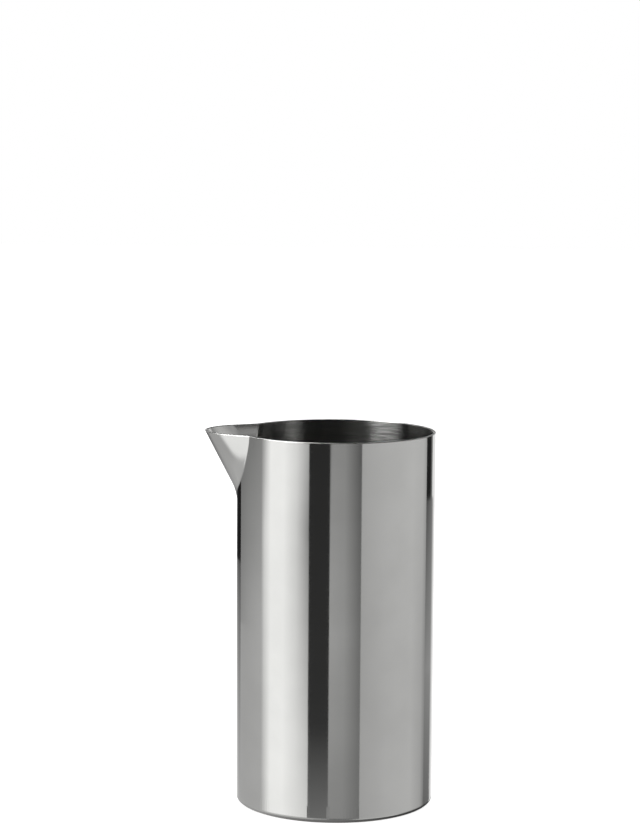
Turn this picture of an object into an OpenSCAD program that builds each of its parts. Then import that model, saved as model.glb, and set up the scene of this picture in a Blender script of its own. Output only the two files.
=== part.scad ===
// Milk jug: a round single-walled steel jug with one pressed pouring lip.
// The origin is on the axis of the wall, on the table. +Z is up and the lip points along -X.

/* [Body] */
// Outer diameter of the wall
body_d = 56; // [50:1:64]
// Height of the rim above the table
body_h = 106; // [90:1:120]
// Thickness of the sheet
wall = 0.8; // [0.6:0.1:1.2]

/* [Spout] */
// Reach of the lip beyond the wall, at the rim
lip_reach = 9.2; // [7.5:0.1:11]
// Lean of the lip's front edge from upright, in degrees
lip_lean = 27.5; // [24:0.5:32]
// Radius of the lip's nose in plan, at the rim
nose_r = 13.2; // [12:0.1:14.5]
// Radius of the lip's nose in plan, halfway down
nose_mid_r = 13.9; // [13:0.1:15]
// Radius of the lip's nose in plan, at its foot
nose_foot_r = 8; // [6:0.5:10]
// Angle of the lip's straight flanks to its axis in plan, in degrees
flank_angle = 28; // [26:0.5:31]
// Outside radius of the crease between lip and wall, at the rim
crease_r = 1; // [0.8:0.1:2.5]
// Outside radius of the crease between lip and wall, at the foot
crease_foot_r = 10; // [6:0.5:14]
// Radius that blends the lip's front edge into the wall
foot_blend_r = 13; // [8:1:18]
// Strip of round wall that the pressed lip keeps beside its creases and below its foot
flange_w = 1; // [0.6:0.1:2]

/* [Base] */
// Thickness of the pressed base
base_t = 1; // [0.8:0.1:1.4]
// Height of the base's upstand
base_rise = 4; // [3:0.5:8]
// Outside radius of the base's lower corner
base_corner_r = 1.5; // [1.3:0.1:2.5]
// Width of the flat ring that stands on the table
foot_ring_w = 6; // [4:0.5:10]
// Lift of the middle of the base above the table
base_lift = 0.6; // [0.3:0.1:1]

/* [Welds] */
// Width of a weld seam
weld_w = 0.8; // [0.5:0.1:1.5]

/* [Hidden] */

$fn = 96;

body_r = body_d / 2;

// Heights of the joints, and the length of a cut that clears what it cuts
tube_z = base_rise + weld_w;
cut_clear = 1;

// Depths below the rim of the lip's front edge: where the lean alone would meet the wall,
// where the blend starts and where it ends
blend_len = foot_blend_r * tan(lip_lean / 2);
lean_depth = lip_reach / tan(lip_lean);
blend_depth = lean_depth - blend_len * cos(lip_lean);
foot_depth = lean_depth + blend_len;

// The pressed lip's edge is half an ellipse below the rim, cut short where it is almost level
lip_depth = foot_depth + flange_w;
edge_end_angle = 86;

// The lip's net: rows down from the rim, and columns across the half nose with its flank, a crease and
// a flange
rows = 28;
nose_cols = 12;
crease_cols = 6;
flange_cols = 2;

// Least shares of the lip's half angle for the nose with its flank and for the crease, used near the foot
least_nose = 0.3;
least_crease = 0.6;

// Reach of the lip beyond the wall at a depth below the rim
function reach(depth) =
    depth < blend_depth ? lip_reach - depth * tan(lip_lean)
    : depth < foot_depth ? foot_blend_r - sqrt(pow(foot_blend_r, 2) - pow(foot_depth - depth, 2))
    : 0;

// Radii in plan. The nose's go by a parabola through its three values, the crease's slowly at first
function way_down(depth) = min(depth / foot_depth, 1);
function nose_radius(depth) =
    let (s = way_down(depth))
    nose_r * (1 - s) * (1 - 2 * s) + nose_mid_r * 4 * s * (1 - s) + nose_foot_r * s * (2 * s - 1);
function crease_radius(depth) = crease_r + (crease_foot_r - crease_r) * pow(way_down(depth), 3);

// In plan the nose is a circle on the lip's axis. A straight flank touches it, and a crease circle
// touches the flank and the wall. Near the foot there is no flank, and the crease touches the nose
function nose_centre(depth) = body_r + reach(depth) - nose_radius(depth);
function flank_turn(depth) =
    let (c = nose_centre(depth))
    let (to_nose = nose_radius(depth) + crease_radius(depth))
    let (to_wall = body_r + crease_radius(depth))
    let (touching = (pow(to_wall, 2) - pow(c, 2) - pow(to_nose, 2)) / (2 * c * to_nose))
    min(90 - flank_angle, acos(min(1, touching)));
function flank_out(depth) = [cos(flank_turn(depth)), sin(flank_turn(depth))];
function nose_middle(depth) = [nose_centre(depth), 0];
function crease_centre(depth) =
    let (out = flank_out(depth))
    let (across = nose_middle(depth) * out + nose_radius(depth) + crease_radius(depth))
    let (along = sqrt(max(0, pow(body_r + crease_radius(depth), 2) - pow(across, 2))))
    across * out + along * [out.y, -out.x];

// Angles from the lip's axis at which the nose, flank and crease end, on the face that lies inset behind
// the outer one
function angle_of(point) = atan2(point.y, point.x);
function nose_end(depth, inset) =
    angle_of(nose_middle(depth) + (nose_radius(depth) - inset) * flank_out(depth));
function flank_end(depth, inset) =
    angle_of(crease_centre(depth) - (crease_radius(depth) + inset) * flank_out(depth));
function crease_end(depth) = angle_of(crease_centre(depth));

// Distance of that face from the jug's axis, at an angle from the lip's axis
function on_nose(depth, angle, inset) =
    let (c = nose_centre(depth))
    c * cos(angle) + sqrt(pow(nose_radius(depth) - inset, 2) - pow(c * sin(angle), 2));
function on_flank(depth, angle, inset) =
    (nose_middle(depth) * flank_out(depth) + nose_radius(depth) - inset) / cos(angle - flank_turn(depth));
function on_crease(depth, angle, inset) =
    let (centre = crease_centre(depth))
    let (along = centre * [cos(angle), sin(angle)])
    along - sqrt(max(0, pow(crease_radius(depth) + inset, 2) - centre * centre + pow(along, 2)));
function on_wall(depth, angle, inset) =
    angle >= crease_end(depth) ? body_r - inset
    : angle > flank_end(depth, inset) ? on_crease(depth, angle, inset)
    : angle > nose_end(depth, inset) ? on_flank(depth, angle, inset)
    : on_nose(depth, angle, inset);

// The lip's edge in side view, from the rim to the foot: half width and depth, wider all round by extra
lip_half_w = body_r * sin(crease_end(0)) + flange_w;
function edge_point(i, extra) =
    let (turn = i * edge_end_angle / rows)
    [(lip_half_w + extra) * cos(turn), (lip_depth + extra) * sin(turn)];

// Angles of the net's columns on one side, from the lip's axis to its edge
function steps(from, to, n) = [for (i = [1:n]) from + (to - from) * i / n];
function half_net(i, inset) =
    let (depth = edge_point(i, 0)[1])
    let (edge_a = asin(edge_point(i, 0)[0] / (body_r - inset)))
    let (nose_a = max(flank_end(depth, inset), least_nose * edge_a))
    let (crease_a = max(crease_end(depth), least_crease * edge_a))
    concat(steps(0, nose_a, nose_cols), steps(nose_a, crease_a, crease_cols),
        steps(crease_a, edge_a, flange_cols));

function net_point(depth, angle, inset) =
    on_wall(depth, abs(angle), inset) * [cos(angle), sin(angle)];
function net_row(i, inset) =
    let (depth = edge_point(i, 0)[1])
    let (half = half_net(i, inset))
    let (angles = concat(-reversed(half), [0], half))
    [for (angle = angles)
        let (p = net_point(depth, angle, inset))
        [p.x, p.y, body_h - depth]];
function net(inset) = [for (i = [0:rows]) each net_row(i, inset)];

// Two triangles for each cell between neighbouring rows a, b of point numbers
function band(a, b) =
    [for (i = [0:len(a) - 2]) each [[a[i], b[i], b[i + 1]], [a[i], b[i + 1], a[i + 1]]]];
function row_of(first, cols, i) = [for (j = [0:cols - 1]) first + i * cols + j];
function column_of(first, cols, j) = [for (i = [0:rows]) first + i * cols + j];
function reversed(list) = [for (i = [len(list) - 1:-1:0]) list[i]];

// A closed shell between the outer net and the net one sheet thickness behind it
module lip_shell() {
    cols = 2 * (nose_cols + crease_cols + flange_cols) + 1;
    back = (rows + 1) * cols;
    outer = [for (i = [0:rows - 1]) each band(row_of(0, cols, i + 1), row_of(0, cols, i))];
    inner = [for (i = [0:rows - 1]) each band(row_of(back, cols, i), row_of(back, cols, i + 1))];
    rim = band(row_of(0, cols, 0), row_of(back, cols, 0));
    foot = band(row_of(back, cols, rows), row_of(0, cols, rows));
    low_side = band(column_of(back, cols, 0), column_of(0, cols, 0));
    high_side = band(column_of(0, cols, cols - 1), column_of(back, cols, cols - 1));
    polyhedron(concat(net(0), net(wall)), concat(outer, inner, rim, foot, low_side, high_side));
}

// A bar along the lip's direction whose section is the lip's outline, wider all round by extra
module lip_bar(extra) {
    edge = [for (i = [0:rows]) edge_point(i, extra)];
    half = concat([[edge[0].x, -cut_clear]], edge);
    outline = concat(half, [for (p = reversed(half)) [-p.x, p.y]]);
    translate([0, 0, body_h])
        rotate([90, 0, 90])
            linear_extrude(body_d)
                polygon([for (p = outline) [p.x, -p.y]]);
}

module wall_ring(z0, z1) {
    rotate_extrude()
        translate([body_r - wall, z0])
            square([wall, z1 - z0]);
}

// The strip under the lip where the rolled sheet's edges meet
module seam_bar(z0, z1) {
    translate([0, -weld_w / 2, z0])
        cube([body_d, weld_w, z1 - z0]);
}

module toward_lip() {
    rotate([0, 0, 180])
        children();
}

// Upright half section of a round pan with a rounded lower corner
module pan_section(r, z0, corner_r) {
    translate([0, z0])
        square([r - corner_r, base_rise - z0]);
    translate([0, z0 + corner_r])
        square([r, base_rise - z0 - corner_r]);
    translate([r - corner_r, z0 + corner_r])
        circle(corner_r);
}

// Half section of the lifted middle of the base, from its own underside or top
module lift_section(z0) {
    ring_r = body_r - base_corner_r - foot_ring_w;
    polygon([[0, z0], [ring_r, z0], [ring_r - base_lift, z0 + base_lift], [0, z0 + base_lift]]);
}

module body_tube() {
    color("silver")
        difference() {
            wall_ring(tube_z, body_h);
            toward_lip() {
                lip_bar(weld_w);
                seam_bar(tube_z - cut_clear, body_h);
            }
        }
}

module tube_seam_weld() {
    color("darkgray")
        intersection() {
            wall_ring(tube_z, body_h);
            toward_lip()
                seam_bar(tube_z, body_h - edge_point(rows, weld_w).y);
        }
}

module spout() {
    color("gainsboro")
        toward_lip()
            lip_shell();
}

module spout_weld() {
    color("darkgray")
        difference() {
            intersection() {
                wall_ring(tube_z, body_h);
                toward_lip()
                    lip_bar(weld_w);
            }
            toward_lip()
                lip_bar(0);
        }
}

module base_pan() {
    color("lightgray")
        rotate_extrude()
            difference() {
                union() {
                    difference() {
                        pan_section(body_r, 0, base_corner_r);
                        pan_section(body_r - wall, base_t, base_corner_r - wall);
                    }
                    lift_section(base_t);
                }
                lift_section(0);
            }
}

module base_weld() {
    color("darkgray")
        wall_ring(base_rise, tube_z);
}

body_tube();
tube_seam_weld();
spout();
spout_weld();
base_pan();
base_weld();
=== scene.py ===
# Milk jug: a small upright steel jug with one pressed pouring lip, dressed over its solid model.
import functools
import math

import bpy
from mathutils import Matrix, Vector


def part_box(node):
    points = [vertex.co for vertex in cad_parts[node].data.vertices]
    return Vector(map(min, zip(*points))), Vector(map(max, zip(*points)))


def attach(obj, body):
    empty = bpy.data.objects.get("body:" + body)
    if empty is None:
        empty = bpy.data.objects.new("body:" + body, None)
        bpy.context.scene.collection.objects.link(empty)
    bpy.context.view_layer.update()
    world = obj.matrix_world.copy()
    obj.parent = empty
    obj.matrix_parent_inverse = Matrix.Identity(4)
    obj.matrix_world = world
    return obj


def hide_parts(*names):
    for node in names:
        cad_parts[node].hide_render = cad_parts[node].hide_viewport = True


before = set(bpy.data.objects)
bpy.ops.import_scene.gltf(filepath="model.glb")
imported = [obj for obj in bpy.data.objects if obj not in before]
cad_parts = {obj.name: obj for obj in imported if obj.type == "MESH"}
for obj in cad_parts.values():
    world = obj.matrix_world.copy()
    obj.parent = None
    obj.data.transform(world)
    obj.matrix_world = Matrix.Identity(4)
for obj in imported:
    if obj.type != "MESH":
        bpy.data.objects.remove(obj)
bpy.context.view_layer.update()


# Camera
# It stands where the photograph was taken from: about 0.73 m from the jug's axis and a little above
# the rim, with a long lens that looks down a few degrees. The picture is 640 by 837 pixels.
mm = 0.001
camera_away = 727.4 * mm
camera_up = 195.6 * mm
camera_turn = math.radians(2.24)
camera_yaw = math.radians(0.369)
camera_pitch = math.radians(6.755)
camera_roll = math.radians(0.396)
film_w = 36  # Blender takes a lens's own lengths in millimetres
focal_length = 111.77

lens = bpy.data.cameras.new("photo_camera")
lens.sensor_width = film_w
lens.lens = focal_length
lens.clip_start = 10 * mm
camera = bpy.data.objects.new("photo_camera", lens)
camera.matrix_world = (
    Matrix.Rotation(camera_turn, 4, "Z")
    @ Matrix.Translation((0, -camera_away, camera_up))
    @ Matrix.Rotation(camera_yaw, 4, "Z")
    @ Matrix.Rotation(math.pi / 2 - camera_pitch, 4, "X")
    @ Matrix.Rotation(camera_roll, 4, "Z")
)
bpy.context.scene.collection.objects.link(camera)
bpy.context.scene.camera = camera


# Base pan
# A disc of stainless sheet pressed into a shallow pan: a flat ring to stand on, a middle lifted clear
# of the table, a rounded corner and a short upstand that the wall is welded to.
pan_low, pan_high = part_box("base_pan")
wall_r = (pan_high[1] - pan_low[1]) / 2
pan_rise = pan_high[2]
sheet = 0.8 * mm
pan_sheet = 1.0 * mm
pan_corner_r = 1.5 * mm
foot_ring_w = 6 * mm
pan_lift = 0.6 * mm
lift_bend_r = 1.2 * mm
turned_steps = 192
bend_steps = 10


def linear(hex_colour):
    """An sRGB hex colour as linear red, green, blue and alpha."""
    parts = [int(hex_colour[i:i + 2], 16) / 255 for i in (1, 3, 5)]
    return [p / 12.92 if p <= 0.04045 else ((p + 0.055) / 1.055) ** 2.4 for p in parts] + [1]


def add_node(tree, kind, inputs=None, **settings):
    """A node with its settings. Each input takes a value, or the output that is linked to it."""
    node = tree.nodes.new(kind)
    for name, value in settings.items():
        setattr(node, name, value)
    for key, value in (inputs or {}).items():
        if isinstance(value, bpy.types.NodeSocket):
            tree.links.new(value, node.inputs[key])
        else:
            node.inputs[key].default_value = value
    return node


def new_finish(name):
    """A material with an empty tree."""
    finish = bpy.data.materials.new(name)
    finish.use_nodes = True
    finish.node_tree.nodes.clear()
    return finish


# Mirror-polished stainless steel, buffed after welding. Reflections stay crisp, the steel is a little
# warm and clouded, and the mop leaves level hairlines that blur some places more than others.
def polished_stainless(name, hex_dark, hex_light, least_haze, most_haze):
    finish = new_finish(name)
    tree = finish.node_tree
    cloud_size = 16 * mm
    hairline_pitch = 0.45 * mm  # drawn coarser than a real mop's marks, which are under 0.05 mm
    hairline_draw = 0.04  # a mark is 25 times as long as it is wide
    place = add_node(tree, "ShaderNodeTexCoord")
    cloud = add_node(tree, "ShaderNodeTexNoise", {
        "Vector": place.outputs["Object"], "Scale": 1 / cloud_size, "Detail": 3.0})
    tone = add_node(tree, "ShaderNodeValToRGB", {"Fac": cloud.outputs["Fac"]})
    tone.color_ramp.elements[0].position = 0.35
    tone.color_ramp.elements[0].color = linear(hex_dark)
    tone.color_ramp.elements[1].position = 0.65
    tone.color_ramp.elements[1].color = linear(hex_light)
    level = add_node(tree, "ShaderNodeMapping", {
        "Vector": place.outputs["Object"], "Scale": (hairline_draw, hairline_draw, 1.0)})
    hairline = add_node(tree, "ShaderNodeTexNoise", {
        "Vector": level.outputs["Vector"], "Scale": 1 / hairline_pitch, "Detail": 4.0, "Roughness": 0.6})
    haze = add_node(tree, "ShaderNodeMapRange", {
        "Value": hairline.outputs["Fac"], "From Min": 0.3, "From Max": 0.7,
        "To Min": least_haze, "To Max": most_haze})
    steel = add_node(tree, "ShaderNodeBsdfPrincipled", {
        "Base Color": tone.outputs["Color"], "Metallic": 1.0, "Roughness": haze.outputs["Result"]})
    add_node(tree, "ShaderNodeOutputMaterial", {"Surface": steel.outputs["BSDF"]})
    return finish


# Stainless steel turned on a lathe with abrasive: fine rings round the axis that spread a highlight
# into a fan across them, over a clean grey.
def ring_brushed_stainless(name, hex_light, hex_dark, ring_pitch):
    finish = new_finish(name)
    tree = finish.node_tree
    place = add_node(tree, "ShaderNodeTexCoord")
    flat = add_node(tree, "ShaderNodeVectorMath", {
        0: place.outputs["Object"], 1: (1.0, 1.0, 0.0)}, operation="MULTIPLY")
    from_axis = add_node(tree, "ShaderNodeVectorMath", {0: flat.outputs["Vector"]}, operation="LENGTH")
    count = add_node(tree, "ShaderNodeMath", {
        0: from_axis.outputs["Value"], 1: 1 / ring_pitch}, operation="MULTIPLY")
    rings = add_node(tree, "ShaderNodeTexNoise", {
        "W": count.outputs["Value"], "Scale": 1.0, "Detail": 5.0, "Roughness": 0.7},
        noise_dimensions="1D")
    tone = add_node(tree, "ShaderNodeValToRGB", {"Fac": rings.outputs["Fac"]})
    tone.color_ramp.elements[0].position = 0.3
    tone.color_ramp.elements[0].color = linear(hex_dark)
    tone.color_ramp.elements[1].position = 0.7
    tone.color_ramp.elements[1].color = linear(hex_light)
    haze = add_node(tree, "ShaderNodeMapRange", {
        "Value": rings.outputs["Fac"], "From Min": 0.3, "From Max": 0.7, "To Min": 0.26, "To Max": 0.4})
    groove = add_node(tree, "ShaderNodeBump", {
        "Height": rings.outputs["Fac"], "Strength": 0.25, "Distance": 0.02 * mm})
    round_axis = add_node(tree, "ShaderNodeTangent", direction_type="RADIAL", axis="Z")
    steel = add_node(tree, "ShaderNodeBsdfPrincipled", {
        "Base Color": tone.outputs["Color"], "Metallic": 1.0, "Roughness": haze.outputs["Result"],
        "Anisotropic": 0.7, "Anisotropic Rotation": 0.25, "Normal": groove.outputs["Normal"],
        "Tangent": round_axis.outputs["Tangent"]})
    add_node(tree, "ShaderNodeOutputMaterial", {"Surface": steel.outputs["BSDF"]})
    return finish


# The tree turns an upright section round the jug's axis: it rounds the section's bends, lays a net of
# steps round the circle over it and merges the net's ends.
def turning_tree():
    merge_gap = 0.002 * mm
    sharp_fold = math.radians(40)
    tree = bpy.data.node_groups.new("turned_sheet", "GeometryNodeTree")
    tree.interface.new_socket("Section", in_out="INPUT", socket_type="NodeSocketGeometry")
    tree.interface.new_socket("Steps round", in_out="INPUT", socket_type="NodeSocketInt")
    tree.interface.new_socket("Bend steps", in_out="INPUT", socket_type="NodeSocketInt")
    tree.interface.new_socket("Finish", in_out="INPUT", socket_type="NodeSocketMaterial")
    tree.interface.new_socket("Piece", in_out="OUTPUT", socket_type="NodeSocketGeometry")
    given = add_node(tree, "NodeGroupInput").outputs
    outline = add_node(tree, "GeometryNodeMeshToCurve", {"Mesh": given["Section"]})
    bend = add_node(tree, "GeometryNodeInputNamedAttribute", {"Name": "bend"}, data_type="FLOAT")
    rounded = add_node(tree, "GeometryNodeFilletCurve", {
        "Curve": outline.outputs["Curve"], "Count": given["Bend steps"],
        "Radius": bend.outputs["Attribute"], "Limit Radius": True}, mode="POLY")
    size = add_node(tree, "GeometryNodeAttributeDomainSize", {
        "Geometry": rounded.outputs["Curve"]}, component="CURVE")
    around = add_node(tree, "ShaderNodeMath", {0: given["Steps round"], 1: 1.0}, operation="ADD")
    net = add_node(tree, "GeometryNodeMeshGrid", {
        "Vertices X": size.outputs["Point Count"], "Vertices Y": around.outputs["Value"]})
    index = add_node(tree, "GeometryNodeInputIndex")
    share = add_node(tree, "ShaderNodeMath", {
        0: index.outputs["Index"], 1: around.outputs["Value"]}, operation="DIVIDE")
    column = add_node(tree, "ShaderNodeMath", {0: share.outputs["Value"]}, operation="FLOOR")
    row = add_node(tree, "ShaderNodeMath", {
        0: index.outputs["Index"], 1: around.outputs["Value"]}, operation="MODULO")
    point = add_node(tree, "GeometryNodeSampleIndex", {
        "Geometry": rounded.outputs["Curve"], "Index": column.outputs["Value"]},
        data_type="FLOAT_VECTOR", domain="POINT")
    place = add_node(tree, "GeometryNodeInputPosition")
    tree.links.new(place.outputs["Position"], point.inputs["Value"])
    part = add_node(tree, "ShaderNodeMath", {
        0: row.outputs["Value"], 1: given["Steps round"]}, operation="DIVIDE")
    turn = add_node(tree, "ShaderNodeMath", {0: part.outputs["Value"], 1: math.tau}, operation="MULTIPLY")
    turned = add_node(tree, "ShaderNodeVectorRotate", {
        "Vector": point.outputs["Value"], "Angle": turn.outputs["Value"]}, rotation_type="Z_AXIS")
    laid = add_node(tree, "GeometryNodeSetPosition", {
        "Geometry": net.outputs["Mesh"], "Position": turned.outputs["Vector"]})
    merged = add_node(tree, "GeometryNodeMergeByDistance", {
        "Geometry": laid.outputs["Geometry"], "Distance": merge_gap})
    fold = add_node(tree, "GeometryNodeInputMeshEdgeAngle")
    sharp = add_node(tree, "FunctionNodeCompare", {
        0: fold.outputs["Unsigned Angle"], 1: sharp_fold}, operation="GREATER_THAN")
    soft = add_node(tree, "GeometryNodeSetShadeSmooth", {
        "Geometry": merged.outputs["Geometry"], "Selection": sharp.outputs["Result"],
        "Shade Smooth": False}, domain="EDGE")
    real = add_node(tree, "GeometryNodeRealizeInstances", {"Geometry": soft.outputs["Geometry"]})
    dressed = add_node(tree, "GeometryNodeSetMaterial", {
        "Geometry": real.outputs["Geometry"], "Material": given["Finish"]})
    add_node(tree, "NodeGroupOutput", {"Piece": dressed.outputs["Geometry"]})
    return tree


turned_sheet = turning_tree()


def turned_piece(name, section, finish):
    """The section's points, each a radius, a height and a bend radius, turned round the axis."""
    outline = bpy.data.meshes.new(name + "_section")
    outline.from_pydata([(r, 0, z) for r, z, bend in section],
                        [(i, i + 1) for i in range(len(section) - 1)], [])
    bends = outline.attributes.new("bend", "FLOAT", "POINT")
    for item, (r, z, bend) in zip(bends.data, section):
        item.value = bend
    blank = bpy.data.objects.new(name + "_blank", outline)
    bpy.context.scene.collection.objects.link(blank)
    turning = blank.modifiers.new("turning", "NODES")
    turning.node_group = turned_sheet
    values = {"Steps round": turned_steps, "Bend steps": bend_steps, "Finish": finish}
    for item in turned_sheet.interface.items_tree:
        if item.in_out == "INPUT" and item.name in values:
            turning[item.identifier] = values[item.name]
    weighted = blank.modifiers.new("weighted", "WEIGHTED_NORMAL")
    weighted.keep_sharp = True
    graph = bpy.context.evaluated_depsgraph_get()
    mesh = bpy.data.meshes.new_from_object(blank.evaluated_get(graph))
    mesh.name = name
    bpy.data.objects.remove(blank)
    piece = bpy.data.objects.new(name, mesh)
    bpy.context.scene.collection.objects.link(piece)
    return piece


def fit(piece, node):
    """The piece stands for its CAD node: it hangs under the root body, and the node's own part is hidden.
    """
    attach(piece, "root")
    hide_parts(node)


polished_outside = polished_stainless("polished_stainless", "#c3c3c1", "#c8c8c6", 0.05, 0.08)
turned_floor = ring_brushed_stainless("ring_brushed_stainless_floor", "#bdbbb7", "#a3a19d", 0.5 * mm)
turned_foot = ring_brushed_stainless("ring_brushed_stainless_foot", "#c4c2be", "#adaba7", 0.35 * mm)

ring_r = wall_r - pan_corner_r - foot_ring_w
pan_section = [
    (0, pan_lift + pan_sheet, 0),
    (ring_r - pan_lift, pan_lift + pan_sheet, lift_bend_r),
    (ring_r, pan_sheet, lift_bend_r),
    (wall_r - sheet, pan_sheet, pan_corner_r - sheet),
    (wall_r - sheet, pan_rise, 0),
    (wall_r, pan_rise, 0),
    (wall_r, 0, pan_corner_r),
    (ring_r, 0, lift_bend_r),
    (ring_r - pan_lift, pan_lift, lift_bend_r),
    (0, pan_lift, 0),
]
base_pan = turned_piece("pressed_base_pan", pan_section, polished_outside)
pan_finishes = [polished_outside, turned_floor, turned_foot]
for finish in pan_finishes[1:]:
    base_pan.data.materials.append(finish)

# The pan's inside and its underside keep the lathe's rings. The corner and the upstand are polished.
facing_up = 0.5
facing_in = -0.3
facing_down = -0.7
for face in base_pan.data.polygons:
    outward = face.normal.dot(Vector((face.center.x, face.center.y, 0)).normalized())
    if face.normal.z > facing_up or outward < facing_in:
        face.material_index = pan_finishes.index(turned_floor)
    elif face.normal.z < facing_down:
        face.material_index = pan_finishes.index(turned_foot)
fit(base_pan, "base_pan")


# Base weld
# The ring seam between the pan's upstand and the wall, run by machine in stainless and ground flush
# outside until it can't be seen. Inside it keeps a low bead.
weld_low, weld_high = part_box("base_weld")
bead_proud = 0.12 * mm
bead_bend_r = 0.4 * mm
bead_r = wall_r - sheet - bead_proud
weld_mid = (weld_low[2] + weld_high[2]) / 2
ground_weld = polished_stainless("ground_stainless_weld", "#c3c3c1", "#c8c8c6", 0.06, 0.1)
base_weld = turned_piece("ring_weld", [
    (wall_r, weld_low[2], 0),
    (wall_r - sheet, weld_low[2], 0),
    (bead_r, weld_mid, bead_bend_r),
    (wall_r - sheet, weld_high[2], 0),
    (wall_r, weld_high[2], 0),
    (wall_r, weld_low[2], 0),
], ground_weld)
fit(base_weld, "base_weld")


# Wall
# Stainless sheet rolled into an upright tube, notched at the rim for the lip and welded along one
# seam below it. Outside it is mirror-polished, inside brushed round, and the rim is rounded over.
tube_low, tube_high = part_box("body_tube")
spout_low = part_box("spout")[0]
rim_z = tube_high[2]
wall_foot = rim_z - tube_low[2]
weld_w = weld_high[2] - weld_low[2]
rim_round = 0.2 * mm
lip_reach = -spout_low[0] - wall_r
lip_lean = math.radians(27.5)
nose_r = 13.2 * mm
nose_mid_r = 13.9 * mm
nose_foot_r = 8 * mm
flank_angle = math.radians(28)
crease_r = 1 * mm
crease_foot_r = 10 * mm
foot_blend_r = 13 * mm
flange_w = 1 * mm
blend_len = foot_blend_r * math.tan(lip_lean / 2)
lean_depth = lip_reach / math.tan(lip_lean)
blend_depth = lean_depth - blend_len * math.cos(lip_lean)
foot_depth = lean_depth + blend_len
lip_depth = foot_depth + flange_w
rim_steps = 7


def reach(depth):
    """How far the lip stands out beyond the round wall at a depth below the rim."""
    if depth < blend_depth:
        return lip_reach - depth * math.tan(lip_lean)
    return foot_blend_r - math.sqrt(foot_blend_r ** 2 - (foot_depth - depth) ** 2)


@functools.lru_cache(maxsize=None)
def lip_plan(depth):
    """The lip's plan at a depth below the rim, as circles on its axis: the nose's centre and radius, the
    crease's centre and radius, and the outward direction of the straight flank that touches both."""
    down = max(0, depth) / foot_depth
    nose = nose_r * (1 - down) * (1 - 2 * down) + nose_foot_r * down * (2 * down - 1)
    nose += nose_mid_r * 4 * down * (1 - down)
    crease = crease_r + (crease_foot_r - crease_r) * down ** 3
    along = wall_r + reach(depth) - nose
    to_wall = wall_r + crease
    to_nose = nose + crease
    touching = math.acos(min(1, (to_wall ** 2 - along ** 2 - to_nose ** 2) / (2 * along * to_nose)))
    turn = min(math.pi / 2 - flank_angle, touching)
    out = Vector((math.cos(turn), math.sin(turn)))
    side = Vector((-out.y, out.x))
    across = along * out.x + to_nose
    centre = across * out - math.sqrt(max(0, to_wall ** 2 - across ** 2)) * side
    return along, nose, centre, crease, out


def lip_lines(depth, inset):
    """Angles from the lip's axis at which its nose, its flank and its crease end."""
    along, nose, centre, crease, out = lip_plan(depth)
    nose_end = Vector((along, 0)) + (nose - inset) * out
    flank_end = centre - (crease + inset) * out
    return [math.atan2(p.y, p.x) for p in (nose_end, flank_end, centre)]


def wall_distance(depth, angle, inset):
    """Distance from the jug's axis to the sheet's face that lies inset behind the outer face."""
    angle = abs(angle)
    if depth >= foot_depth or angle > math.pi / 2:
        return wall_r - inset
    along, nose, centre, crease, out = lip_plan(depth)
    nose_line, flank_line, crease_line = lip_lines(depth, inset)
    ray = Vector((math.cos(angle), math.sin(angle)))
    if angle >= crease_line:
        return wall_r - inset
    if angle > flank_line:
        ahead = centre.dot(ray)
        return ahead - math.sqrt(max(0, (crease + inset) ** 2 - centre.dot(centre) + ahead ** 2))
    if angle > nose_line:
        return (along * out.x + nose - inset) / out.dot(ray)
    return along * ray.x + math.sqrt((nose - inset) ** 2 - (along * ray.y) ** 2)


def wall_point(depth, angle, inset):
    """A point of the sheet's face. The angle runs from the lip's axis towards the camera."""
    away = wall_distance(depth, angle, inset)
    return Vector((-away * math.cos(angle), -away * math.sin(angle), rim_z - depth))


def wall_normal(depth, angle, inset, rise, behind):
    """The face's outward direction, where the sheet's outline runs by rise and behind."""
    small = 0.002 * mm
    tiny_turn = small / wall_r
    across = wall_point(depth, angle + tiny_turn, inset) - wall_point(depth, angle - tiny_turn, inset)
    upward = (wall_point(depth - rise * small, angle, inset + behind * small)
              - wall_point(depth + rise * small, angle, inset - behind * small))
    return across.cross(upward).normalized()


def over_rim(depths):
    """Steps of the sheet's outline: up the outer face, over the rim's two rounded corners, down the
    inner face. The depths run up from the foot. A step is a depth, an inset, a rise and a way behind."""
    outer = [(depth, 0, 1, 0) for depth in depths]
    rim = []
    for first, middle in ((0, rim_round), (math.pi / 2, sheet - rim_round)):
        for i in range(rim_steps):
            turn = first + math.pi / 2 * i / (rim_steps - 1)
            rim.append((rim_round * (1 - math.sin(turn)), middle - rim_round * math.cos(turn),
                        math.cos(turn), math.sin(turn)))
    inner = [(depth, sheet, -1, 0) for depth in reversed(depths)]
    return outer + rim + inner


def net_rows(steps, columns):
    """Rows of net points: for each step of the outline, the angles that columns gives for it."""
    return [[(depth, angle, inset, rise, behind) for angle in columns(depth, inset)]
            for depth, inset, rise, behind in steps]


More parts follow.
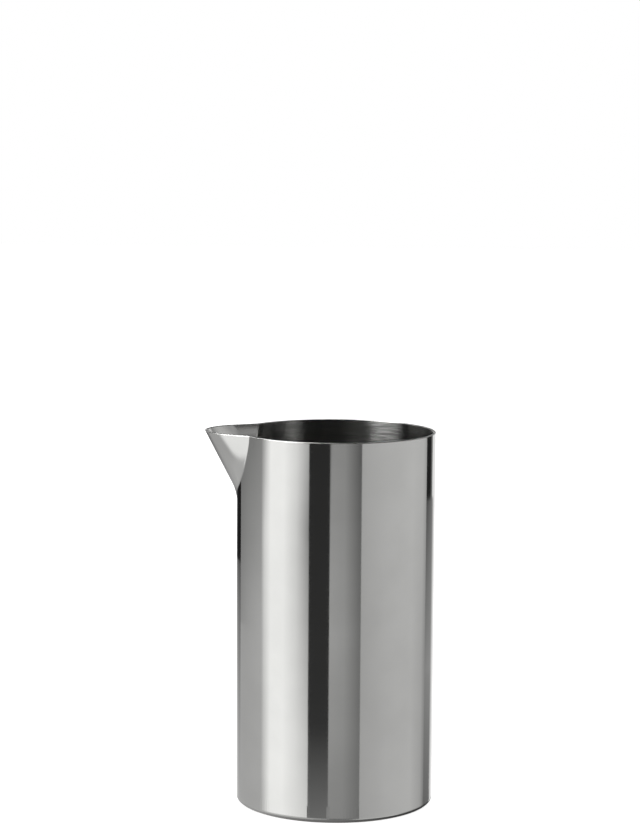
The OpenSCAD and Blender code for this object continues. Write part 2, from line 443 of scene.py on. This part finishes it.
def sheet_piece(name, rows, finishes, ring=0):
    """A closed piece of the wall's sheet from rows of net points, the outer face's before the inner's.
    The finishes are those outside, inside and on the rim. In a ring, the rows close round after ring
    rim steps."""
    face_slack = 0.01 * sheet
    tall = len(rows)
    wide = len(rows[0])
    net_points = [net_point for row in rows for net_point in row]
    points = [wall_point(depth, angle, inset) for depth, angle, inset, rise, behind in net_points]
    normals = [wall_normal(*net_point) for net_point in net_points]
    skin = []
    finish_of = []
    for i in range(tall if ring else tall - 1):
        low = i * wide
        high = (i + 1) % tall * wide
        for j in range(wide - 1):
            skin.append((low + j, low + j + 1, high + j + 1, high + j))
            behind = (rows[i][j][2] + rows[(i + 1) % tall][j][2]) / 2
            if behind < face_slack:
                finish_of.append(0)
            elif behind > sheet - face_slack:
                finish_of.append(1)
            else:
                finish_of.append(2)
    total = tall - 1 - ring
    closing = []
    for i in range(-((ring + 1) // 2), (total + 1) // 2):
        side = [i % tall, (i + 1) % tall, (total - i - 1) % tall, (total - i) % tall]
        side = list(dict.fromkeys(side))
        closing.append([k * wide for k in side])
        closing.append([k * wide + wide - 1 for k in reversed(side)])
    if not ring:
        back = (tall - 1) * wide
        closing += [(j + 1, j, back + j, back + j + 1) for j in range(wide - 1)]
    mesh = bpy.data.meshes.new(name)
    mesh.from_pydata(points, [], skin + closing)
    for finish in finishes:
        mesh.materials.append(finish)
    for face, number in zip(mesh.polygons, finish_of):
        face.material_index = number
    places = mesh.uv_layers.new(name="round_and_down")
    flat = [(angle * wall_r, depth) for depth, angle, inset, rise, behind in net_points]
    corners = []
    for n, face in enumerate(mesh.polygons):
        for corner, vertex in zip(face.loop_indices, face.vertices):
            places.data[corner].uv = flat[vertex]
            corners.append(normals[vertex] if n < len(skin) else face.normal.copy())
    mesh.normals_split_custom_set(corners)
    piece = bpy.data.objects.new(name, mesh)
    bpy.context.scene.collection.objects.link(piece)
    return piece


def spread(start, end, count):
    """Count values that go evenly from start to end, without the start."""
    return [start + (end - start) * i / count for i in range(1, count + 1)]


# Stainless steel brushed round the inside of the wall with an abrasive belt: level scratches that
# break light into short streaks and spread it up and down the wall.
def belt_brushed_stainless(name):
    finish = new_finish(name)
    tree = finish.node_tree
    scratch_pitch = 0.5 * mm  # drawn coarser than the real grit's 0.05 mm
    scratch_len = 6 * mm
    place = add_node(tree, "ShaderNodeUVMap", uv_map="round_and_down")
    long_way = add_node(tree, "ShaderNodeMapping", {
        "Vector": place.outputs["UV"], "Scale": (1 / scratch_len, 1 / scratch_pitch, 1.0)})
    scratch = add_node(tree, "ShaderNodeTexNoise", {
        "Vector": long_way.outputs["Vector"], "Scale": 1.0, "Detail": 5.0, "Roughness": 0.65},
        noise_dimensions="2D")
    tone = add_node(tree, "ShaderNodeValToRGB", {"Fac": scratch.outputs["Fac"]})
    tone.color_ramp.elements[0].position = 0.3
    tone.color_ramp.elements[0].color = linear("#8e8e8c")
    tone.color_ramp.elements[1].position = 0.7
    tone.color_ramp.elements[1].color = linear("#b8b8b6")
    haze = add_node(tree, "ShaderNodeMapRange", {
        "Value": scratch.outputs["Fac"], "From Min": 0.3, "From Max": 0.7, "To Min": 0.17, "To Max": 0.2})
    groove = add_node(tree, "ShaderNodeBump", {
        "Height": scratch.outputs["Fac"], "Strength": 0.5, "Distance": 0.03 * mm})
    round_wall = add_node(tree, "ShaderNodeTangent", direction_type="UV_MAP", uv_map="round_and_down")
    steel = add_node(tree, "ShaderNodeBsdfPrincipled", {
        "Base Color": tone.outputs["Color"], "Metallic": 1.0, "Roughness": haze.outputs["Result"],
        "Anisotropic": 0.9, "Anisotropic Rotation": 0.25, "Normal": groove.outputs["Normal"],
        "Tangent": round_wall.outputs["Tangent"]})
    add_node(tree, "ShaderNodeOutputMaterial", {"Surface": steel.outputs["BSDF"]})
    return finish


brushed_inside = belt_brushed_stainless("belt_brushed_stainless")
ground_rim = polished_stainless("ground_stainless_rim", "#b0b0ae", "#b6b6b4", 0.42, 0.48)

# Seen from the side, the lip's edge is half an ellipse, and the notch's edge is one weld wider.
lip_half_w = wall_r * lip_plan(0)[2].normalized().y + flange_w
notch_half_w = lip_half_w + weld_w
notch_depth = lip_depth + weld_w
seam_half = weld_w / 2
edge_end = math.acos(seam_half / notch_half_w)
seam_top = notch_depth * math.sin(edge_end)
wall_columns = 240
notch_rows = 36
seam_rows = 24


def edge_angle(depth, inset, half_w, foot):
    """Angle from the lip's axis to an edge of that half width at the rim and that foot's depth."""
    half = half_w * math.sqrt(max(0, 1 - (depth / foot) ** 2))
    return math.asin(half / (wall_r - inset))


def notch_columns(depth, inset):
    """Angles round the wall, from one side of the notch or seam to the other."""
    start = max(edge_angle(depth, inset, notch_half_w, notch_depth), seam_half / (wall_r - inset))
    return [start] + spread(start, math.tau - start, wall_columns)


seam_depths = [wall_foot] + spread(wall_foot, seam_top, seam_rows)
wall_depths = seam_depths + [
    notch_depth * math.sin(edge_end * i / notch_rows) for i in range(notch_rows - 1, 1, -1)]
body_tube = sheet_piece("rolled_wall", net_rows(over_rim(wall_depths), notch_columns),
                        [polished_outside, brushed_inside, ground_rim])
fit(body_tube, "body_tube")


# Seam weld
# The upright seam that closes the rolled sheet, below the lip and on its axis. It is ground flush and
# polished with the wall, so that only a faint change of haze is left.
weld_columns = 4


def seam_columns(depth, inset):
    """Angles across the seam."""
    side = seam_half / (wall_r - inset)
    return [-side] + spread(-side, side, weld_columns)


seam_steps = [(depth, 0, 1, 0) for depth in seam_depths]
seam_steps += [(depth, sheet, -1, 0) for depth in reversed(seam_depths)]
seam_weld = sheet_piece("seam_weld", net_rows(seam_steps, seam_columns), [ground_weld, brushed_inside])
fit(seam_weld, "tube_seam_weld")


# Spout
# A pressed lip of the same sheet: a rounded nose that leans out at the rim, straight flanks, and to each
# side a crease and a narrow strip of round wall. The lip is polished by hand inside and out, and the
# strip with the wall.
nose_columns = 48
flank_columns = 8
crease_columns = 14
strip_columns = 5
foot_shares = (0.3, 0.4, 0.6)  # of the half width, where the lines run on below the lip's foot
lip_rows = 60


def lip_columns(depth, inset):
    """Angles across the lip from edge to edge, with lines along its nose, flanks and creases."""
    edge = edge_angle(depth, inset, lip_half_w, lip_depth)
    ends = [share * edge for share in foot_shares]
    if depth < foot_depth:
        ends = [max(pair) for pair in zip(ends, lip_lines(depth, inset))]
    half = spread(0, ends[0], nose_columns) + spread(ends[0], ends[1], flank_columns)
    half += spread(ends[1], ends[2], crease_columns) + spread(ends[2], edge, strip_columns)
    return [-angle for angle in reversed(half)] + [0] + half


lip_depths = [lip_depth * math.sin(edge_end * i / lip_rows) for i in range(lip_rows, 1, -1)]
hand_polished = polished_stainless("hand_polished_stainless", "#babab8", "#bfbfbd", 0.13, 0.17)
spout = sheet_piece("pressed_lip", net_rows(over_rim(lip_depths), lip_columns),
                    [hand_polished, hand_polished, ground_rim])
spout.data.materials.append(polished_outside)
strip_finish = len(spout.data.materials) - 1
for face in spout.data.polygons:
    from_axis = math.hypot(face.center.x, face.center.y)
    if face.material_index == 0 and from_axis < wall_r:
        face.material_index = strip_finish
fit(spout, "spout")


# Spout weld
# The seam that joins the lip to the notch, a narrow band round the lip's edge from rim to rim. It is
# filled, ground flush with both sheets and polished.
def weld_row(step, turn):
    """Points across the weld from the lip's edge to the notch's, at a turn round the edge's ellipse."""
    depth, inset, rise, behind = step
    row = []
    for i in range(weld_columns + 1):
        half_w = lip_half_w + weld_w * i / weld_columns
        foot = lip_depth + weld_w * i / weld_columns
        if depth is None:
            down = foot * min(math.sin(turn), math.sin(edge_end))
            across = half_w * math.cos(turn)
        else:
            down = depth
            across = math.copysign(half_w * math.sqrt(1 - (depth / foot) ** 2), math.cos(turn))
        row.append((down, math.asin(across / (wall_r - inset)), inset, rise, behind))
    return row


edge_steps = 120
rim_gap = 5  # steps at each end that are left to the rim
edge_turns = [math.pi * i / edge_steps for i in range(rim_gap, edge_steps - rim_gap + 1)]
rim_only = over_rim([])
weld_rows = [weld_row((None, 0, 1, 0), turn) for turn in reversed(edge_turns)]
weld_rows += [weld_row(step, 0) for step in rim_only]
weld_rows += [weld_row((None, sheet, -1, 0), turn) for turn in edge_turns]
weld_rows += [weld_row(step, math.pi) for step in reversed(rim_only)]
spout_weld = sheet_piece("lip_weld", weld_rows, [ground_weld, brushed_inside, ground_rim],
                         ring=len(rim_only))
fit(spout_weld, "spout_weld")


# Studio
# The jug stands on a plain white table in a white surround, under one soft lamp. Cards and flags round
# it are seen only in its polished wall, as in a photograph of bright metal. They reach below the table.
def share_seen(tree):
    """One where the ray comes from the camera, a reflection or a transmission, and zero elsewhere."""
    path = add_node(tree, "ShaderNodeLightPath")
    first = add_node(tree, "ShaderNodeMath", {
        0: path.outputs["Is Camera Ray"], 1: path.outputs["Is Glossy Ray"]}, operation="MAXIMUM")
    both = add_node(tree, "ShaderNodeMath", {
        0: first.outputs["Value"], 1: path.outputs["Is Transmission Ray"]}, operation="MAXIMUM")
    return both.outputs["Value"]


def stage_object(name, points, faces, material):
    """A piece of the stage, which is no part of the jug."""
    mesh = bpy.data.meshes.new(name)
    mesh.from_pydata(points, [], faces)
    mesh.materials.append(material)
    thing = bpy.data.objects.new(name, mesh)
    bpy.context.scene.collection.objects.link(thing)
    return thing


world = bpy.data.worlds.new("white_surround")
bpy.context.scene.world = world
world.use_nodes = True
world.node_tree.nodes.clear()
fill_level = 0.5
surround_level = add_node(world.node_tree, "ShaderNodeMapRange", {
    "Value": share_seen(world.node_tree), "To Min": fill_level, "To Max": 1.0})
surround = add_node(world.node_tree, "ShaderNodeBackground", {
    "Color": linear("#ffffff"), "Strength": surround_level.outputs["Result"]})
add_node(world.node_tree, "ShaderNodeOutputWorld", {"Surface": surround.outputs["Background"]})

# Matt white painted board, which gives the eye an even white and keeps the jug's soft shadow.
table_white = new_finish("matt_white_table")
table_glow = add_node(table_white.node_tree, "ShaderNodeMapRange", {
    "Value": share_seen(table_white.node_tree), "To Min": 0.0, "To Max": 0.82})
table_skin = add_node(table_white.node_tree, "ShaderNodeBsdfPrincipled", {
    "Base Color": linear("#ededed"), "Roughness": 0.9, "Specular IOR Level": 0.0,
    "Emission Color": linear("#ffffff"), "Emission Strength": table_glow.outputs["Result"]})
add_node(table_white.node_tree, "ShaderNodeOutputMaterial", {"Surface": table_skin.outputs["BSDF"]})
table_half = 3.0
table = stage_object("table", [(-table_half, -table_half, 0), (table_half, -table_half, 0),
                               (table_half, table_half, 0), (-table_half, table_half, 0)],
                     [(0, 1, 2, 3)], table_white)
table.visible_glossy = False

lamp_data = bpy.data.lights.new("soft_lamp", "AREA")
lamp_data.shape = "DISK"
lamp_data.size = 1.4
lamp_data.energy = 9.0
lamp = bpy.data.objects.new("soft_lamp", lamp_data)
lamp.location = (-0.15, -0.25, 1.6)
lamp.rotation_euler = (math.radians(-9), math.radians(-5), 0)
lamp.visible_glossy = False
bpy.context.scene.collection.objects.link(lamp)

# Studio board, from white to black. A card's glow is the light that it sends to the jug.
card_face = new_finish("lit_card")
card_level = add_node(card_face.node_tree, "ShaderNodeAttribute", attribute_name="glow")
card_light = add_node(card_face.node_tree, "ShaderNodeEmission", {"Strength": card_level.outputs["Fac"]})
add_node(card_face.node_tree, "ShaderNodeOutputMaterial", {"Surface": card_light.outputs["Emission"]})
card_away = 500 * mm
degrees_a_step = 3


def glowing(card, glows):
    """Gives each point of a card its glow, and shows the card in metal only."""
    data = card.data.attributes.new("glow", "FLOAT", "POINT").data
    for item, glow in zip(data, glows):
        item.value = glow
    card.visible_camera = False
    card.visible_diffuse = False
    card.visible_transmission = False
    card.visible_shadow = False


def stage_card(name, low, high, stops):
    """An upright card bent round the jug. Each stop is a turn in degrees to the right of the camera,
    and the card's glow there at its lower and its upper edge."""
    points = []
    glows = []
    for (turn_a, low_a, high_a), (turn_b, low_b, high_b) in zip(stops, stops[1:]):
        steps = math.ceil((turn_b - turn_a) / degrees_a_step)
        for i in range(steps + 1):
            share = i / steps
            turn = camera_turn + math.radians(turn_a + (turn_b - turn_a) * share)
            for height in (low, high):
                points.append((card_away * math.sin(turn), -card_away * math.cos(turn), height))
            glows += [low_a + (low_b - low_a) * share, high_a + (high_b - high_a) * share]
    faces = [(i, i + 2, i + 3, i + 1) for i in range(0, len(points) - 2, 2)]
    glowing(stage_object(name, points, faces, card_face), glows)


sunk = -215 * mm
card_top = 50 * mm
fade_top = 110 * mm
tent_top = 650 * mm

left_grey_cut = -45 * mm
stage_card("left_grey_card_low", sunk, left_grey_cut, [
    (-142, 0.65, 0.48), (-120, 0.68, 0.55), (-93, 0.62, 0.66)])
stage_card("left_grey_card", left_grey_cut, card_top, [
    (-142, 0.38, 0.2), (-120, 0.52, 0.28), (-106, 0.59, 0.32), (-93, 0.66, 0.37)])

softbox_mid = 0
softbox_cut = -150 * mm
stage_card("softbox", softbox_mid, card_top, [
    (-93, 0.65, 0.42), (-88, 1.12, 0.7), (-79, 1.46, 1.46), (-61, 1.46, 1.46), (-45, 1.04, 1.17),
    (-30.2, 0.34, 0.67)])
stage_card("softbox_low", softbox_cut, softbox_mid, [
    (-93, 0.62, 0.65), (-88, 0.85, 1.12), (-79, 1.4, 1.48), (-61, 1.46, 1.46), (-45, 1.32, 1.04),
    (-29.8, 1.2, 0.4)])
stage_card("softbox_foot", sunk, softbox_cut, [
    (-93, 0.62, 0.62), (-88, 0.64, 0.85), (-79, 0.66, 1.4), (-61, 0.66, 1.46), (-29.8, 0.6, 1.2)])

front_flag_cut = -88 * mm
stage_card("front_flag", front_flag_cut, card_top, [(-30.2, 0.05, 0.035), (-6.6, 0.05, 0.035)])
stage_card("front_flag_foot", sunk, front_flag_cut, [(-29.8, 0.62, 0.05), (-6.6, 0.62, 0.05)])

front_grey_cut = -40 * mm
stage_card("front_grey_card", front_grey_cut, card_top, [
    (-6.6, 0.55, 0.22), (-4, 0.53, 0.41), (10, 0.48, 0.39), (28.8, 0.24, 0.13)])
stage_card("front_grey_card_foot", sunk, front_grey_cut, [
    (-6.6, 0.24, 0.57), (10, 0.26, 0.5), (28.8, 0.27, 0.25)])

stage_card("right_white_card", sunk, card_top, [
    (28.8, 0.58, 0.61), (61, 0.67, 0.71), (97, 0.68, 0.78), (118, 0.45, 0.73), (127, 0.2, 0.55)])

right_back_cut = -68 * mm
right_back_top = 15 * mm
stage_card("right_back_card_foot", sunk, right_back_cut, [(127, 0, 0.36), (147, 0, 0.36)])
stage_card("right_back_card", right_back_cut, right_back_top, [(127, 0.39, 0.12), (147, 0.39, 0.25)])
stage_card("right_back_flag", right_back_top, card_top, [
    (127, 0.02, 0.02), (139, 0.02, 0.02), (147, 0.4, 0.32)])
stage_card("right_edge_card", sunk, right_back_top, [
    (147, 0.82, 0.4), (152, 0.88, 0.6), (158, 1.2, 1.2)])

left_back_cut = -16 * mm
stage_card("left_back_card", sunk, left_back_cut, [
    (-175, 1.8, 0.9), (-167, 2, 0.4), (-160, 1.7, 0.2), (-154, 1, 0.14), (-142, 0.85, 0.12)])
stage_card("left_back_flag", left_back_cut, card_top, [
    (-175, 0.9, 0.67), (-169, 0.2, 0.14), (-160, 0.02, 0.02), (-142, 0.01, 0.01)])

# The cards fade upwards into the ring above them.
stage_card("left_grey_fade", card_top, fade_top, [
    (-142, 0.2, 0.1), (-120, 0.28, 0.3), (-106, 0.32, 0.3), (-93, 0.37, 0.1)])
stage_card("softbox_fade", card_top, fade_top, [
    (-93, 0.42, 0.1), (-88, 0.7, 0.5), (-79, 1.46, 1.5), (-61, 1.46, 1.6), (-45, 1.17, 0.8),
    (-30.2, 0.67, 0.05)])
stage_card("front_flag_fade", card_top, fade_top, [(-30.2, 0.035, 0), (-6.6, 0.035, 0)])
stage_card("front_grey_fade", card_top, fade_top, [
    (-6.6, 0.22, 0), (-4, 0.41, 0), (10, 0.39, 0), (28.8, 0.13, 0)])
stage_card("right_white_fade", card_top, fade_top, [
    (28.8, 0.61, 0), (42, 0.65, 0.02), (46, 0.66, 0.5), (60, 0.71, 0.6), (66, 0.72, 0.4),
    (97, 0.78, 0.3), (118, 0.73, 0.3), (127, 0.55, 0.3)])
stage_card("right_back_fade", card_top, fade_top, [
    (127, 0.02, 0.3), (139, 0.02, 0.3), (147, 0.32, 0.4)])
stage_card("left_back_fade", card_top, fade_top, [
    (-175, 0.67, 0.6), (-169, 0.14, 0.3), (-160, 0.02, 0.2), (-142, 0.01, 0.1)])

# Above them a second ring of cards lights the inside, the lip's channel and the rim.
glare_foot = 160 * mm
stage_card("high_softbox", fade_top, glare_foot, [
    (-92, 0.1, 0.1), (-78, 1.6, 1.7), (-54, 1.6, 1.7), (-46, 0.8, 0.9), (-38, 0.2, 0.2),
    (-27, 0.02, 0.02)])
stage_card("high_softbox_top", glare_foot, tent_top, [
    (-92, 0.1, 0.3), (-78, 1.7, 36), (-54, 1.7, 36), (-46, 0.9, 8), (-38, 0.2, 0.3),
    (-27, 0.02, 0.02)])
stage_card("high_front_flag", fade_top, tent_top, [(-27, 0, 0), (42, 0, 0)])

strip_top = 170 * mm
channel_top = 420 * mm
stage_card("channel_strip", fade_top, strip_top, [
    (42, 0.02, 0.02), (46, 0.5, 0.48), (60, 0.6, 0.58), (66, 0.4, 0.4), (140, 0.3, 0.4),
    (150, 0.4, 0.4)])
stage_card("high_right_card", strip_top, channel_top, [
    (42, 0.02, 0.02), (50, 0.3, 0.02), (60, 0.6, 0.4), (70, 0.4, 1), (112, 0.4, 1.2), (128, 0.4, 1),
    (140, 0.4, 0.5), (150, 0.4, 0.4)])
stage_card("high_right_flag", channel_top, tent_top, [(42, 0.02, 0.02), (150, 0.02, 0.02)])
stage_card("high_left_card", fade_top, tent_top, [
    (-142, 0.03, 0.03), (-130, 0.3, 0.3), (-105, 0.3, 0.3), (-92, 0.03, 0.03)])

back_card_top = 240 * mm
stage_card("back_white_card", fade_top, back_card_top, [
    (150, 0.5, 1.2), (165, 0.6, 1.4), (218, 0.6, 1.4)])
stage_card("high_back_flag", back_card_top, tent_top, [(150, 0.02, 0.02), (218, 0.02, 0.02)])


def stage_disc(name, away, height, middle, stops):
    """A level disc round the jug's axis, with a glow at its middle. Each stop is a turn in degrees and
    the glow of the disc's edge there."""
    points = [(0, 0, height)]
    glows = [middle]
    for (turn_a, glow_a), (turn_b, glow_b) in zip(stops, stops[1:]):
        steps = math.ceil((turn_b - turn_a) / degrees_a_step)
        for i in range(steps + 1):
            turn = camera_turn + math.radians(turn_a + (turn_b - turn_a) * i / steps)
            points.append((away * math.sin(turn), -away * math.cos(turn), height))
            glows.append(glow_a + (glow_b - glow_a) * i / steps)
    faces = [(0, i, i + 1) for i in range(1, len(points) - 1)]
    glowing(stage_object(name, points, faces, card_face), glows)


# The sweep below the cards, which the leaning lip and the base's corner look down on, the shade of the
# jug's own contact with the table, and a dark ceiling that dims the rim and the inside.
contact_spread = 1.1 * mm
contact_height = -0.2 * mm
stage_disc("left_sweep", card_away, sunk, 0.6, [(-180, 0.8), (-140, 0.76), (-60, 0.74), (-25, 0.5)])
stage_disc("right_sweep", card_away, sunk, 0.5, [
    (-25, 0.4), (0, 0.1), (20, 0.15), (34, 0.9), (80, 1), (96, 0.4), (130, 0.1), (155, 0.5),
    (180, 0.8)])
stage_disc("contact_shade", wall_r + contact_spread, contact_height, 0.05, [
    (-180, 0.3), (-90, 0.5), (-50, 0.5), (-20, 0.3), (10, 0.2), (40, 0.08), (90, 0.05), (180, 0.3)])
stage_disc("ceiling", card_away, tent_top, 0.02, [(-180, 0.02), (180, 0.02)])

bpy.context.scene.view_settings.view_transform = "Standard"
